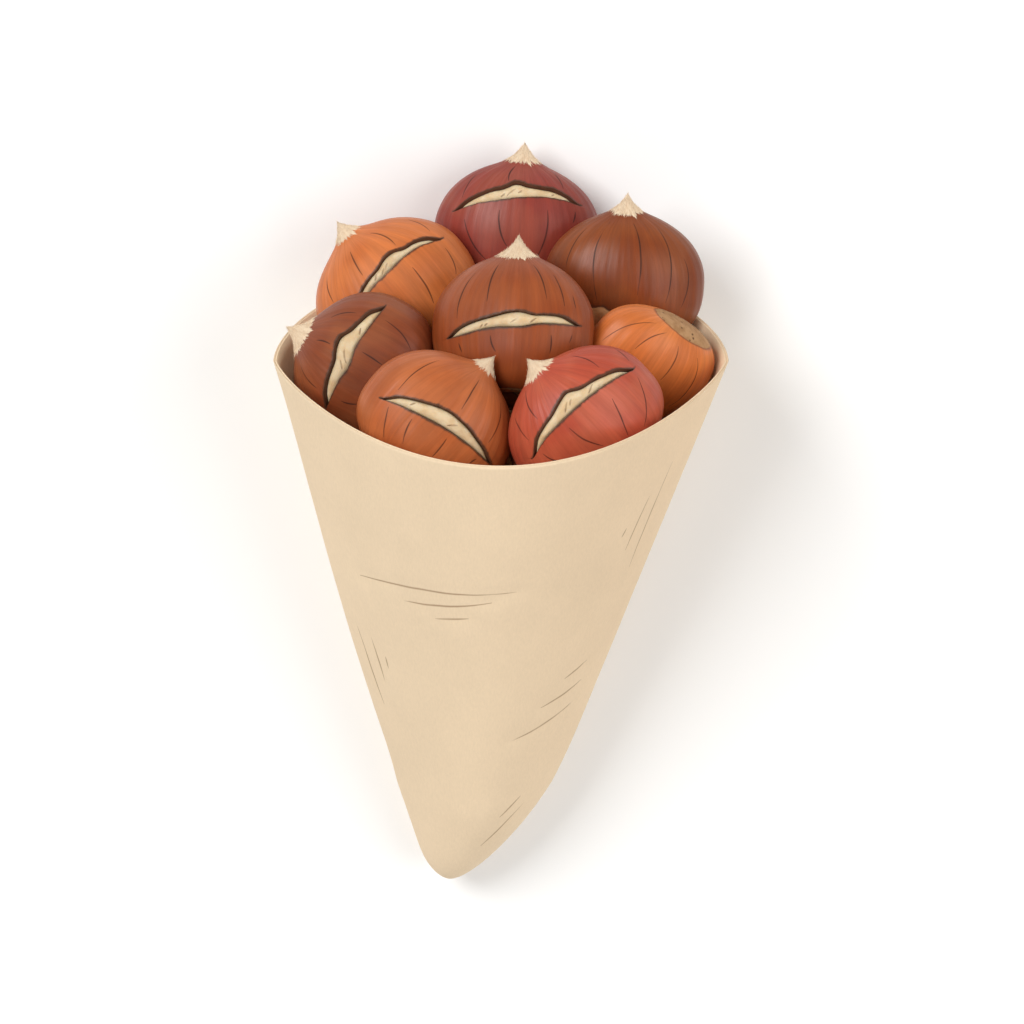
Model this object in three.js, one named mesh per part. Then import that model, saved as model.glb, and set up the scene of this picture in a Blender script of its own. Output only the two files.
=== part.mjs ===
// Roasted chestnuts in a paper cone that lies on its back on a table, with its open mouth raised.
// Millimetres. +X to the right across the mouth, +Y from the tip of the cone to its mouth, +Z up.
// The origin is on the table, straight below the middle of the mouth.
import * as THREE from "three";

// ---- Driving dimensions -------------------------------------------------------------------------------------

// The paper cone. Lengths are taken down its axis from the plane of the mouth.
const MOUTH_HALF_WIDTH = 53.5;
const MOUTH_FRONT = 52; // from the axis to the upper edge of the mouth
const MOUTH_BACK = 49.5; // to the lower edge, if it were not pressed flat
const FLAT_BACK = 47; // to the strip that is pressed flat, on which the cone lies
const FRONT_FULLNESS = 1.6; // 1 is half an ellipse, more is leaner towards the corners of the mouth
const BACK_FULLNESS = 1.15;
const APEX_LENGTH = 173; // to the point where the straight sides would meet
const STRAIGHT_LENGTH = 113.5; // over which the sides are straight
const CONE_LENGTH = 140; // to the blunt tip
const TIP_BLUNTNESS = 0.56; // 0.5 is half an ellipse, more is sharper
const LEAN = 0.0475; // the axis of the cone runs this far to the left for each millimetre down
const TIP_BEND = 7; // and the tip bends this much further that way
const WALL = 0.8; // two turns of stout paper
const TIP_WALL = 2.4; // gathered paper in the tip
const LAP_STEP = 0.5; // the cut edge of the outer turn stands this far proud
const LAP_ANGLE = 325; // where that edge runs, in degrees round the axis from +X
const LAP_RISE = 0.6; // degrees over which it steps up
const LAP_FADE = 30; // and degrees over which the outer turn beds down again

// The heap faces a line that is raised this many degrees out of the plane of the mouth, away from its axis.
const HEAP_TILT = 29;

// A chestnut in its own frame: +Y to its point, +Z out of its rounder face. Shares are of half its width.
const CROWN_HEIGHT = 0.86; // from the widest level to the shoulder
const BASE_HEIGHT = 0.8; // from the widest level to the scar
const BASE_SQUARENESS = 2.7; // 2 is an ellipse, more is a flatter base
const FACE_DEPTH = 0.6; // half thickness on the rounder face
const BACK_DEPTH = 0.5; // and on the flatter one
const POINT_REACH = 0.25; // by which the drawn-out point stands above the shoulder
const POINT_SPREAD = 7.5; // degrees from its middle over which it sinks to a third
const SHELL = 1; // thickness of the shell
const SHRINKAGE = 0.8; // the roasted kernel stands this far off the shell
const SWELL = 1.6; // and bulges this far out in the middle of the slit
const SWELLING = [0.7, 0.35]; // the rings of the bulge, as shares of the slit. The first is its foot.
const TINY = 1e-9; // keeps the ends of a slit, where its lips meet, from dividing by nothing

// How large each chestnut is, and where it lies, from the middle of the mouth along the heap's own axes:
// across, up and out. thick is its share of the usual thickness.
// turn swings its point to the left, nod brings its upper side forward, and yaw turns its face to the right.
// A slit runs from one end to the other across the face. lower and upper are how far its lips stand above the
// line between its ends, at even steps along it. The upper lip has torn, and stands furthest there.
const CHESTNUTS = [
  {
    name: "back", color: 0x9c4d41, width: 39.4, thick: 1,
    at: [3.9, 30.4, -28.6], turn: -5, nod: 10, yaw: -2,
    slit: {
      from: [-15.7, 4.9], to: [15.2, 9],
      lower: [1.4, 2.4, 2.9, 3.3, 3.6, 3.6, 3.4, 2.7, 1.7],
      upper: [2.8, 4.6, 5.9, 6.6, 7.8, 6.7, 5.9, 5.1, 3],
    },
  },
  {
    name: "back_left", color: 0xcb7341, width: 39.4, thick: 1,
    at: [-25, 16.2, -17], turn: 39, nod: 8, yaw: 0,
    slit: {
      from: [-9.9, 4.2], to: [17.5, 3.4],
      lower: [0.4, 0.9, 1.6, 1.9, 2.2, 2.6, 2.6, 2.3, 1.3],
      upper: [1.3, 2.8, 3.8, 4.4, 5.5, 5.6, 4.4, 4, 2.7],
    },
  },
  {
    name: "back_right", color: 0x8c4b2e, width: 37.8, thick: 0.95,
    at: [29, 19.2, -14.5], turn: -2, nod: 14, yaw: 1,
  },
  {
    name: "middle", color: 0x9b4f30, width: 38.6, thick: 1,
    at: [2.9, 8, 6.8], turn: -3, nod: -3, yaw: -13,
    slit: {
      from: [-13.8, -4.1], to: [17.4, 0.6],
      lower: [0.3, 0.7, 1.1, 1.2, 0.9, 0.7, 1, 0.9, 0.5],
      upper: [2, 3, 3.6, 4.1, 4.6, 4.5, 3.4, 3.1, 2.3],
    },
  },
  {
    name: "left", color: 0x8a4a31, width: 36.6, thick: 1,
    at: [-32.4, -1.5, -0.3], turn: 62, nod: 8, yaw: -3,
    slit: {
      from: [-11.6, 3.2], to: [16.2, 2],
      lower: [0.4, 0.7, 0.8, 0.4, 0.8, 1.4, 1.2, 0.9, 0.6],
      upper: [2.1, 3.3, 3.9, 4.5, 5.8, 6.1, 4.6, 3.7, 2.6],
    },
  },
  {
    name: "right", color: 0xc76d39, width: 33.1, thick: 0.89,
    at: [34, -0.3, -1.5], turn: 155, nod: 30, yaw: 19,
  },
  {
    name: "front_left", color: 0xb5643c, width: 37.6, thick: 1,
    at: [-15, -14.8, 17.5], turn: -40, nod: 10, yaw: 4,
    slit: {
      from: [-15, -3.4], to: [15.1, 1.4],
      lower: [0.9, 1.4, 1.8, 2.1, 2.2, 2.1, 1.8, 1.3, 0.6],
      upper: [2.7, 4.1, 5.1, 5.9, 6.2, 5.8, 5, 3.7, 2.2],
    },
  },
  {
    name: "front_right", color: 0xb75440, width: 38.4, thick: 1,
    at: [19.4, -14, 19.5], turn: 46, nod: 17, yaw: 18,
    slit: {
      from: [-15.4, 4.7], to: [16.9, 3],
      lower: [2, 3.3, 4, 4.4, 4.5, 4.4, 3.9, 3.1, 1.8],
      upper: [3.8, 5.7, 6.9, 8.3, 9.1, 7.5, 6.7, 5.4, 3.5],
    },
  },
];

// The chestnuts that carry them, inside the cone. None of these is slit.
const CARRIERS = [
  { name: "under_left", width: 36, thick: 1, at: [-20, -22, -10], turn: 299, nod: 135, yaw: -32 },
  { name: "under_middle", width: 35, thick: 1, at: [8, -30, 0.5], turn: 250, nod: -25, yaw: 33 },
  { name: "under_back", width: 36, thick: 1, at: [4.4, -0.4, -19], turn: 4, nod: -63, yaw: 12 },
  { name: "under_right", width: 35, thick: 1, at: [23.8, -18.2, -24], turn: -11, nod: -39, yaw: -30 },
  { name: "deep_left", width: 34, thick: 1, at: [-10.6, -47.4, -1.2], turn: 193, nod: 58, yaw: -60 },
  { name: "deep_back", width: 33, thick: 1, at: [-5.3, -32.2, -22.2], turn: 23, nod: -31, yaw: -41 },
  { name: "deep_right", width: 33, thick: 1, at: [16, -44.1, -17.8], turn: 20, nod: 129, yaw: -59 },
];
const CARRIER_BROWN = 0x8f4b2d;

// How finely each surface is divided.
const CONE_COLUMNS = 44;
const CONE_SIDE_ROWS = 5;
const CONE_TIP_ROWS = 6;
const SHELL_COLUMNS = 28; // a multiple of 4, so that one column runs through the point
const SHELL_COLUMN_CROWDING = 0.75; // 0 is even, more crowds them together at the point
const SHELL_ROWS = 5; // on each side of the widest outline
const SHELL_ROW_CROWDING = 1.6; // 1 is even, more crowds them together at that outline
const LINING_ROWS = 3; // likewise, inside the shell and on the kernel
const WHOLE_COLUMNS = 24;
const WHOLE_ROWS = 14;
const WHOLE_ROW_CROWDING = 1.25; // 1 is even, more crowds them together at the point
const CARRIER_COLUMNS = 14;
const CARRIER_ROWS = 9;

// ---- Shapes -------------------------------------------------------------------------------------------------

const radians = THREE.MathUtils.degToRad;

function evenAngles(count) {
  return Array.from({ length: count }, (_, i) => (2 * Math.PI * i) / count);
}

function finish(color, roughness) {
  return new THREE.MeshStandardMaterial({ color, roughness, metalness: 0 });
}

function named(name, geometry, material) {
  const mesh = new THREE.Mesh(geometry, material);
  mesh.name = name;
  return mesh;
}

// A closed surface through rings of points. The first and the last ring are single points. Each facet between
// two rings is split along one diagonal or, when crossed, along the other.
function skin(rings, crossed = false) {
  const index = [];
  let start = 0;
  for (let row = 0; row < rings.length - 1; row++) {
    const near = rings[row].length;
    const far = rings[row + 1].length;
    for (let i = 0; i < Math.max(near, far); i++) {
      const a = start + (i % near);
      const b = start + ((i + 1) % near);
      const c = start + near + ((i + 1) % far);
      const d = start + near + (i % far);
      if (near > 1) index.push(a, b, crossed ? c : d);
      if (far > 1) index.push(crossed ? a : b, c, d);
    }
    start += near;
  }
  return new THREE.BufferGeometry().setFromPoints(rings.flat()).setIndex(index);
}

// ---- The paper cone -----------------------------------------------------------------------------------------

// The share of the mouth's size that the cone still has, this far down.
function coneShare(down) {
  if (down <= STRAIGHT_LENGTH) return 1 - down / APEX_LENGTH;
  const left = (CONE_LENGTH - down) / (CONE_LENGTH - STRAIGHT_LENGTH);
  return (1 - STRAIGHT_LENGTH / APEX_LENGTH) * left ** TIP_BLUNTNESS;
}

function coneMiddle(down) {
  const bent = Math.max(0, down - STRAIGHT_LENGTH) / (CONE_LENGTH - STRAIGHT_LENGTH);
  return -LEAN * Math.min(down, STRAIGHT_LENGTH) - TIP_BEND * bent;
}

// A point of the wall, in degrees round from +X, set in by so much. A negative inset stands proud.
function conePoint(angle, down, inset) {
  const sine = Math.sin(radians(angle));
  const front = MOUTH_FRONT * Math.max(sine, 0) ** FRONT_FULLNESS;
  const back = Math.min(MOUTH_BACK * Math.max(-sine, 0) ** BACK_FULLNESS, FLAT_BACK);
  const section = new THREE.Vector2(MOUTH_HALF_WIDTH * Math.cos(radians(angle)), front - back);
  section.multiplyScalar(coneShare(down));
  section.setLength(section.length() - inset);
  return new THREE.Vector3(section.x + coneMiddle(down), -down, section.y);
}

// How far the outer turn of paper stands proud: most at its cut edge, and less clockwise from there.
function lap(angle) {
  const past = (LAP_ANGLE - angle) / LAP_FADE;
  return past >= 0 && past < 1 ? LAP_STEP * (1 - past) : 0;
}

// Distances down the cone, from its tip up to its mouth, closer together where the tip is round.
function coneStations(length) {
  const stations = [];
  for (let row = 1; row <= CONE_TIP_ROWS; row++)
    stations.push(length - (length - STRAIGHT_LENGTH) * (row / CONE_TIP_ROWS) ** 2);
  for (let row = 1; row <= CONE_SIDE_ROWS; row++) stations.push(STRAIGHT_LENGTH * (1 - row / CONE_SIDE_ROWS));
  return stations;
}

function coneGeometry() {
  const angles = evenAngles(CONE_COLUMNS).map(THREE.MathUtils.radToDeg);
  angles.push(LAP_ANGLE, LAP_ANGLE + LAP_RISE);
  angles.sort((a, b) => b - a);
  const outside = (down) => angles.map((angle) => conePoint(angle, down, -lap(angle) * coneShare(down)));
  const inside = (down) => angles.map((angle) => conePoint(angle, down, WALL));
  const tip = (down) => [new THREE.Vector3(coneMiddle(down), -down, 0)];
  const lining = CONE_LENGTH - TIP_WALL;
  return skin([
    tip(CONE_LENGTH),
    ...coneStations(CONE_LENGTH).map(outside),
    ...coneStations(lining).reverse().map(inside),
    tip(lining),
  ]);
}

// ---- A chestnut ---------------------------------------------------------------------------------------------

// The surface in a direction from the chestnut's middle, with or without its point, set in by so much.
function chestnutPoint(nut, direction, pointed, inset) {
  const { x, y, z } = direction;
  const height = y > 0 ? CROWN_HEIGHT : BASE_HEIGHT;
  const square = y > 0 ? 2 : BASE_SQUARENESS;
  let reach = (Math.hypot(x, z) ** square + (Math.abs(y) / height) ** square) ** (-1 / square);
  if (pointed) reach += POINT_REACH * Math.exp(-Math.acos(Math.min(y, 1)) / radians(POINT_SPREAD));
  const point = direction.clone().multiplyScalar((reach * nut.width) / 2);
  point.z *= nut.thick * (z > 0 ? FACE_DEPTH : BACK_DEPTH);
  return point.setLength(point.length() - inset);
}

// The whole surface lies on a disc. Its middle is the middle of the face, its edge is the middle of the back,
// and the circle of half its size is the widest outline, with the point at the top.
function discDirection(disc) {
  const away = Math.PI * disc.length();
  const side = disc.clone().setLength(Math.sin(away));
  return new THREE.Vector3(side.x, side.y, Math.cos(away));
}

function discCircle(angle, size) {
  return new THREE.Vector2(Math.cos(angle), Math.sin(angle)).multiplyScalar(size);
}

// Angles round the disc, close together towards the point.
function shellAngles() {
  return evenAngles(SHELL_COLUMNS).map((angle) => angle + SHELL_COLUMN_CROWDING * Math.cos(angle));
}

// How far a lip stands above the line between the ends of its slit, at a place from -1 to 1 along it.
function lipHeight(heights, along) {
  const knots = [0, ...heights, 0].map((height) => new THREE.Vector2(0, height));
  return new THREE.SplineCurve(knots).getPoint((1 + along) / 2).y;
}

// The edge of the slit on the disc, round over the upper lip and back along the lower one. At a smaller share
// of its size, the curve closes in on the middle of the slit.
function slitEdge(nut, angle, share) {
  const { from, to, lower, upper } = nut.slit;
  const along = share * Math.cos(angle);
  const across = (share * Math.sin(angle)) / Math.sqrt(Math.max(1 - along ** 2, TINY));
  const heights = [lower, upper].map((lip) => lipHeight(lip, along));
  const offset = (heights[0] * (1 - across) + heights[1] * (1 + across)) / 2;
  const start = new THREE.Vector2(...from);
  const chord = new THREE.Vector2(...to).sub(start);
  const edge = new THREE.Vector2(-chord.y, chord.x).setLength(1).multiplyScalar(offset).add(start);
  edge.addScaledVector(chord, (1 + along) / 2);
  return edge.setLength(Math.asin(edge.length() / (nut.width / 2)) / Math.PI);
}

// The angle at which a column crosses the widest outline. From the ends of the slit it runs straight out.
function fanned(nut, angle) {
  const { from, to } = nut.slit;
  const end = Math.cos(angle) > 0 ? Math.atan2(to[1], to[0]) : Math.atan2(from[1], -from[0]);
  return angle + end * Math.cos(angle);
}

// Rings on the disc from its edge to the slit, as shares: 2 at the edge, 1 at the widest outline and 0 at the
// slit.
function discRings(rows, crowding) {
  const shares = [];
  for (let row = 1; row <= rows; row++) shares.push(1 + (1 - row / rows) ** crowding);
  for (let row = 1; row <= rows; row++) shares.push(1 - (row / rows) ** crowding);
  return shares;
}

function shellRing(nut, share, pointed, inset) {
  return shellAngles().map((angle) => {
    const disc = discCircle(fanned(nut, angle), Math.max(share, 1) / 2);
    if (share < 1) disc.lerp(slitEdge(nut, angle, 1), 1 - share);
    return chestnutPoint(nut, discDirection(disc), pointed, inset);
  });
}

function backPoint(nut, inset) {
  return [chestnutPoint(nut, new THREE.Vector3(0, 0, -1), false, inset)];
}

// The slit shell: outside from the back round to the lips of the slit, and inside back again.
function shellGeometry(nut) {
  return skin([
    backPoint(nut, 0),
    ...discRings(SHELL_ROWS, SHELL_ROW_CROWDING).map((share) => shellRing(nut, share, true, 0)),
    ...discRings(LINING_ROWS, 1).reverse().map((share) => shellRing(nut, share, false, SHELL)),
    backPoint(nut, SHELL),
  ]);
}

// The kernel fills the shell and shows in the slit, where it swells. Its facets lie parallel to the shell's.
function kernelGeometry(nut) {
  const inset = SHELL + SHRINKAGE;
  const swollen = (angle, share) => {
    const height = SWELL * (1 - share / SWELLING[0]);
    return chestnutPoint(nut, discDirection(slitEdge(nut, angle, share)), false, inset - height);
  };
  const rings = [
    backPoint(nut, inset),
    ...discRings(LINING_ROWS, 1).map((share) => shellRing(nut, share, false, inset)),
    ...SWELLING.map((share) => shellAngles().map((angle) => swollen(angle, share))),
    [swollen(0, 0)],
  ];
  return skin(rings, true);
}

// An uncut chestnut, from its base to its point.
function wholeGeometry(nut, columns, rows) {
  const at = (polar, angle) =>
    chestnutPoint(nut, new THREE.Vector3().setFromSphericalCoords(1, polar, angle), true, 0);
  const rings = [[at(Math.PI, 0)]];
  for (let row = 1; row < rows; row++) {
    const polar = Math.PI * (1 - row / rows) ** WHOLE_ROW_CROWDING;
    rings.push(evenAngles(columns).map((angle) => at(polar, angle)));
  }
  rings.push([at(0, 0)]);
  return skin(rings);
}

// ---- Assembly -----------------------------------------------------------------------------------------------

function chestnut(nut) {
  const body = new THREE.Group();
  if (nut.slit) {
    body.add(named("shell_" + nut.name, shellGeometry(nut), finish(nut.color, 0.4)));
    body.add(named("kernel_" + nut.name, kernelGeometry(nut), finish(0xe6c596, 0.7)));
  } else if (CARRIERS.includes(nut)) {
    const shape = wholeGeometry(nut, CARRIER_COLUMNS, CARRIER_ROWS);
    body.add(named("chestnut_" + nut.name, shape, finish(CARRIER_BROWN, 0.4)));
  } else {
    const shape = wholeGeometry(nut, WHOLE_COLUMNS, WHOLE_ROWS);
    body.add(named("chestnut_" + nut.name, shape, finish(nut.color, 0.4)));
  }
  body.position.set(...nut.at);
  body.rotation.set(radians(nut.nod), radians(nut.yaw), radians(nut.turn), "YXZ");
  return body;
}

const heap = new THREE.Group();
heap.rotation.x = -radians(HEAP_TILT);
for (const nut of [...CHESTNUTS, ...CARRIERS]) heap.add(chestnut(nut));

const lying = new THREE.Group();
lying.add(named("paper_cone", coneGeometry(), finish(0xe7ceab, 0.9)));
lying.add(heap);
lying.rotation.x = Math.atan(FLAT_BACK / APEX_LENGTH);
lying.position.z = FLAT_BACK * Math.cos(lying.rotation.x);

const group = new THREE.Group();
group.add(lying);
export default group;
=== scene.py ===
import math

import bpy
import numpy as np
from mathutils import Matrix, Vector, noise


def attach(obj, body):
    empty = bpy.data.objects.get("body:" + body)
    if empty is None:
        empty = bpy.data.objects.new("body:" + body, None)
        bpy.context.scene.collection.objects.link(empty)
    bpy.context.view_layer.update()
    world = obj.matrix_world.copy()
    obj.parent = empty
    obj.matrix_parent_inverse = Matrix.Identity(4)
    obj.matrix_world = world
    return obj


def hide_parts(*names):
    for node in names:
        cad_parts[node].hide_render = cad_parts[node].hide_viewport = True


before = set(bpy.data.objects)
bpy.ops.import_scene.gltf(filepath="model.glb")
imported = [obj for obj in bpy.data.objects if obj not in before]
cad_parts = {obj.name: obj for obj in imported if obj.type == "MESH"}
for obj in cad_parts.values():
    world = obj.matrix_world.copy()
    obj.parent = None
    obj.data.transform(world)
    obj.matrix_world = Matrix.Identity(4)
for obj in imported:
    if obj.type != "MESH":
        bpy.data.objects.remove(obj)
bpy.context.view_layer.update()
scene = bpy.context.scene


# ---- The table, the light and the camera --------------------------------------------------------------------
# A plain matt white table top, lit from above by soft white panels, as in a small studio.
# The camera looks down on the heap, along the line that the chestnuts face, through a very long lens.

TABLE_HALF_SIDE = 4.0
TABLE_WHITE = (0.94, 0.935, 0.925, 1)
CAMERA_TILT = math.radians(13.7)  # out of the vertical, towards the mouth of the cone
CAMERA_DISTANCE = 4.0
CAMERA_LENS = 598.5
LOOK_AT = (0.0026, -0.0345, 0.0538)
PANELS = {  # place, side, watts
    "key": ((-1.0, 0.9, 1.7), 1.1, 33),
    "fill": ((1.4, 0.1, 1.5), 1.6, 19),
    "rear": ((-0.2, -1.5, 1.2), 1.2, 7),
}
ROOM_WHITE = (1, 0.99, 0.975, 1)
ROOM_LIGHT = 0.34


def feed(tree, node, inputs):
    """Sets or links the sockets of a node."""
    for name, value in inputs.items():
        if isinstance(value, bpy.types.NodeSocket):
            tree.links.new(value, node.inputs[name])
        else:
            node.inputs[name].default_value = value


def node_of(tree, kind, inputs, **settings):
    """A new node, with its settings made and its sockets fed."""
    made = tree.nodes.new(kind)
    for name, value in settings.items():
        setattr(made, name, value)
    feed(tree, made, inputs)
    return made


def shade(tree, kind, inputs, **settings):
    """A new shader node."""
    return node_of(tree, "ShaderNode" + kind, inputs, **settings)


def finish_of(name):
    """A new material: its node tree, its Principled shader and its object coordinates."""
    material = bpy.data.materials.new(name)
    material.use_nodes = True
    tree = material.node_tree
    place = shade(tree, "TexCoord", {}).outputs["Object"]
    return material, tree, tree.nodes["Principled BSDF"], place


table_finish, tree, surface, place = finish_of("white table")
feed(tree, surface, {"Base Color": TABLE_WHITE, "Roughness": 0.8, "Specular IOR Level": 0.2})

corners = [(x * TABLE_HALF_SIDE, y * TABLE_HALF_SIDE, 0) for x, y in ((-1, -1), (1, -1), (1, 1), (-1, 1))]
table_mesh = bpy.data.meshes.new("table")
table_mesh.from_pydata(corners, [], [(0, 1, 2, 3)])
table_mesh.materials.append(table_finish)
table = bpy.data.objects.new("table", table_mesh)
scene.collection.objects.link(table)

for name, (spot, side, watts) in PANELS.items():
    panel = bpy.data.lights.new(name, "AREA")
    panel.size = side
    panel.energy = watts
    lamp = bpy.data.objects.new(name, panel)
    lamp.location = spot
    lamp.rotation_euler = (Vector(LOOK_AT) - Vector(spot)).to_track_quat("-Z", "Y").to_euler()
    scene.collection.objects.link(lamp)

scene.world = bpy.data.worlds.new("studio")
scene.world.use_nodes = True
tree = scene.world.node_tree
feed(tree, tree.nodes["Background"], {"Color": ROOM_WHITE, "Strength": ROOM_LIGHT})
scene.view_settings.view_transform = "Standard"

lens = bpy.data.cameras.new("camera")
lens.lens = CAMERA_LENS
lens.clip_end = 20
camera = bpy.data.objects.new("camera", lens)
camera.rotation_euler = (-CAMERA_TILT, 0, 0)
toward = Vector((0, math.sin(CAMERA_TILT), math.cos(CAMERA_TILT)))
camera.location = Vector(LOOK_AT) + CAMERA_DISTANCE * toward
scene.collection.objects.link(camera)
scene.camera = camera


# ---- The paper cone -----------------------------------------------------------------------------------------
# One sheet of stout cream paper, rolled twice round and glued along its edge. The filled cone lies on the strip
# that its own weight presses flat. Handling has left a few soft creases in it.

MOUTH_HALF_WIDTH = 0.0535
MOUTH_FRONT = 0.052
MOUTH_BACK = 0.0495
FLAT_BACK = 0.047
FRONT_FULLNESS = 1.6
BACK_FULLNESS = 1.15
APEX_LENGTH = 0.173
STRAIGHT_LENGTH = 0.1135
CONE_LENGTH = 0.14
TIP_BLUNTNESS = 0.56
LEAN = 0.0475
TIP_BEND = 0.007
BEND_SOFTNESS = 0.013
WALL = 0.0008
TIP_WALL = 0.0024
RIM = [(0.00004, 0.00022), (0.0001, 0.00034), (0.0004, 0.0004), (0.0001, 0.00046), (0.00004, 0.00058)]
LAP_STEP = 0.0005
LAP_ANGLE = 325
LAP_RISE = 0.6
LAP_FADE = 30
LIE = math.atan(FLAT_BACK / APEX_LENGTH)
CONE_COLUMNS = 384
CONE_SIDE_ROWS = 120
CONE_TIP_ROWS = 34
PAPER_CREAM = (0.775, 0.61, 0.418, 1)
# The right side of the cone turns to a pinker cream: painted shade.
PAPER_PAINTED_SHADE = (0.79, 0.6, 0.4, 1)
# The inner face of the paper is given a lighter cream than the outer face: painted light, which lifts the shade
# inside the cone.
LINING_PAINTED_LIGHT = (0.84, 0.66, 0.45, 1)
# The creases are also darkened along their lines in colour: painted shade over the dents in the wall.
CREASE_PAINTED_SHADE = (0.3, 0.185, 0.1, 1)
PAINTED_SHADE_SPAN = (-0.03, 0.06)  # where across the cone the shade of the paper comes in
FIBRE_STRETCH = (1, 0.16, 0.5)
MOTTLE = 0.16
PAPER_RELIEF = 0.00012
CREASE_DEPTH = 0.00032
CREASE_REACH = 0.0042
CREASE_HOLLOWNESS = 1.4
CREASE_WIDTH = 0.0005
WAVE_DEPTH = 0.00022
WAVES_PER_METRE = 28
RIPPLES_PER_METRE = 62
TAUT_AT_MOUTH = 0.03
TAUT_AT_TIP = 0.02
BELLY = 0.0014
BELLY_FROM = 0.008
BELLY_LENGTH = 0.112
BELLY_SKEW = 1.3
TIP_PINCH = 0.0005
PINCH_FROM_MOUTH = 0.128
PINCH_LENGTH = 0.0075
SOFT_SIDE = 175
SOFT_SPREAD = 45
# Each crease runs from one place to another: degrees round from +X, and metres down from the mouth. The last
# number is how far its middle bows towards the mouth.
CREASES = [
    (142, 0.0479, 82, 0.0406, 0.0017), (122, 0.0486, 90, 0.0437, 0), (110, 0.0509, 98, 0.049, 0),
    (156, 0.0672, 151, 0.0879, 0), (145, 0.067, 143, 0.0799, 0), (138, 0.0705, 138, 0.074, 0),
    (30, 0.0187, 32, 0.048, 0), (37, 0.0253, 40, 0.04, 0), (44, 0.0321, 45, 0.0343, 0),
    (40, 0.0725, 52, 0.0745, 0), (38, 0.0787, 62, 0.081, 0), (39, 0.0849, 75, 0.0896, 0),
    (58, 0.1095, 70, 0.1149, 0), (51, 0.1128, 75, 0.1243, 0),
]


def turned(points, axis, angle):
    """Points turned about one axis of the frame, by an angle in radians."""
    a, b = [(1, 2), (2, 0), (0, 1)][axis]
    result = np.array(points, float)
    result[..., a] = points[..., a] * math.cos(angle) - points[..., b] * math.sin(angle)
    result[..., b] = points[..., a] * math.sin(angle) + points[..., b] * math.cos(angle)
    return result


def laid(points):
    """From the frame of the cone, whose axis is level, to where the cone lies on the table."""
    return turned(points, 0, LIE) + np.array([0, 0, FLAT_BACK * math.cos(LIE)])


def cone_share(down):
    """The share of the mouth's size that is left, this far down."""
    left = np.clip((CONE_LENGTH - down) / (CONE_LENGTH - STRAIGHT_LENGTH), 0, 1)
    curved = (1 - STRAIGHT_LENGTH / APEX_LENGTH) * left**TIP_BLUNTNESS
    return np.where(down <= STRAIGHT_LENGTH, 1 - down / APEX_LENGTH, curved)


def cone_middle(down):
    """How far the axis has swung to the side, this far down. The paper bends softly where the tip turns off."""
    past = np.clip(down - STRAIGHT_LENGTH + BEND_SOFTNESS, 0, 2 * BEND_SOFTNESS)
    bent = past**2 / (4 * BEND_SOFTNESS) + np.maximum(down - STRAIGHT_LENGTH - BEND_SOFTNESS, 0)
    return -LEAN * (down - bent) - TIP_BEND * bent / (CONE_LENGTH - STRAIGHT_LENGTH)


def mouth_section(angle):
    """The outline of the mouth, in degrees round from +X."""
    sine = np.sin(np.radians(angle))
    front = MOUTH_FRONT * np.maximum(sine, 0) ** FRONT_FULLNESS
    back = np.minimum(MOUTH_BACK * np.maximum(-sine, 0) ** BACK_FULLNESS, FLAT_BACK)
    return np.stack([MOUTH_HALF_WIDTH * np.cos(np.radians(angle)), front - back], -1)


def cone_point(angle, down, inset):
    """A point of the wall, in degrees round from +X, set in by so much."""
    angle, down, inset = np.broadcast_arrays(*np.atleast_1d(angle, down, inset))
    section = mouth_section(angle) * cone_share(down)[..., None]
    length = np.maximum(np.linalg.norm(section, axis=-1), 1e-9)
    section = section * ((length - inset) / length)[..., None]
    return laid(np.stack([section[..., 0] + cone_middle(down), -down, section[..., 1]], -1))


def unrolled(angle, down):
    """Where a point of the wall lies on the paper when it is flat again, in metres."""
    round_mouth = np.arange(-90, 271)
    steps = np.linalg.norm(np.diff(mouth_section(round_mouth), axis=0), axis=-1)
    arc = np.interp((np.asarray(angle) + 90) % 360 - 90, round_mouth, np.concatenate([[0], np.cumsum(steps)]))
    reach = APEX_LENGTH * cone_share(np.broadcast_to(down, arc.shape))
    spread = arc / APEX_LENGTH
    return np.stack([reach * np.sin(spread), reach * np.cos(spread), np.zeros(arc.shape)], -1)


def lap(angle, down):
    """How far the outer turn of paper stands proud: most at its cut edge."""
    past = (LAP_ANGLE - angle) / LAP_FADE
    return np.where((past >= 0) & (past < 1), LAP_STEP * (1 - past), 0) * cone_share(down)


def crease_place(crease, along):
    """Where a crease runs: degrees round, and metres down."""
    angle_from, down_from, angle_to, down_to, bow = crease
    down = down_from + along * (down_to - down_from) - bow * 4 * along * (1 - along)
    return angle_from + along * (angle_to - angle_from), down


def dents(angle, down):
    """How far handling has pushed the paper in, at each place."""
    spot = cone_point(angle, down, 0)
    depth = np.zeros(len(spot))
    for crease in CREASES:
        start, end = cone_point(*crease_place(crease, np.array([0, 1])), 0)
        span = end - start
        along = np.clip((spot - start) @ span / (span @ span), 0, 1)
        line = cone_point(*crease_place(crease, along), 0)
        near = np.clip(1 - np.linalg.norm(spot - line, axis=-1) / CREASE_REACH, 0, 1)
        depth += CREASE_DEPTH * near**CREASE_HOLLOWNESS
    wave = np.array([noise.noise(Vector(p) * WAVES_PER_METRE) + noise.noise(Vector(p) * RIPPLES_PER_METRE) / 2
                     for p in spot])
    free = np.clip(np.sin(np.radians(angle)) * 2 + 0.6, 0, 1) * np.clip(down / TAUT_AT_MOUTH, 0.3, 1)
    dented = (depth + WAVE_DEPTH * wave) * free * np.clip((CONE_LENGTH - down) / TAUT_AT_TIP, 0.15, 1)
    bulge = BELLY * np.sin(math.pi * np.clip((down - BELLY_FROM) / BELLY_LENGTH, 0, 1) ** BELLY_SKEW)
    pinch = TIP_PINCH * np.exp(-(((down - PINCH_FROM_MOUTH) / PINCH_LENGTH) ** 2))
    return dented - (bulge - pinch) * np.exp(-(((angle - SOFT_SIDE) / SOFT_SPREAD) ** 2))


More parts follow.
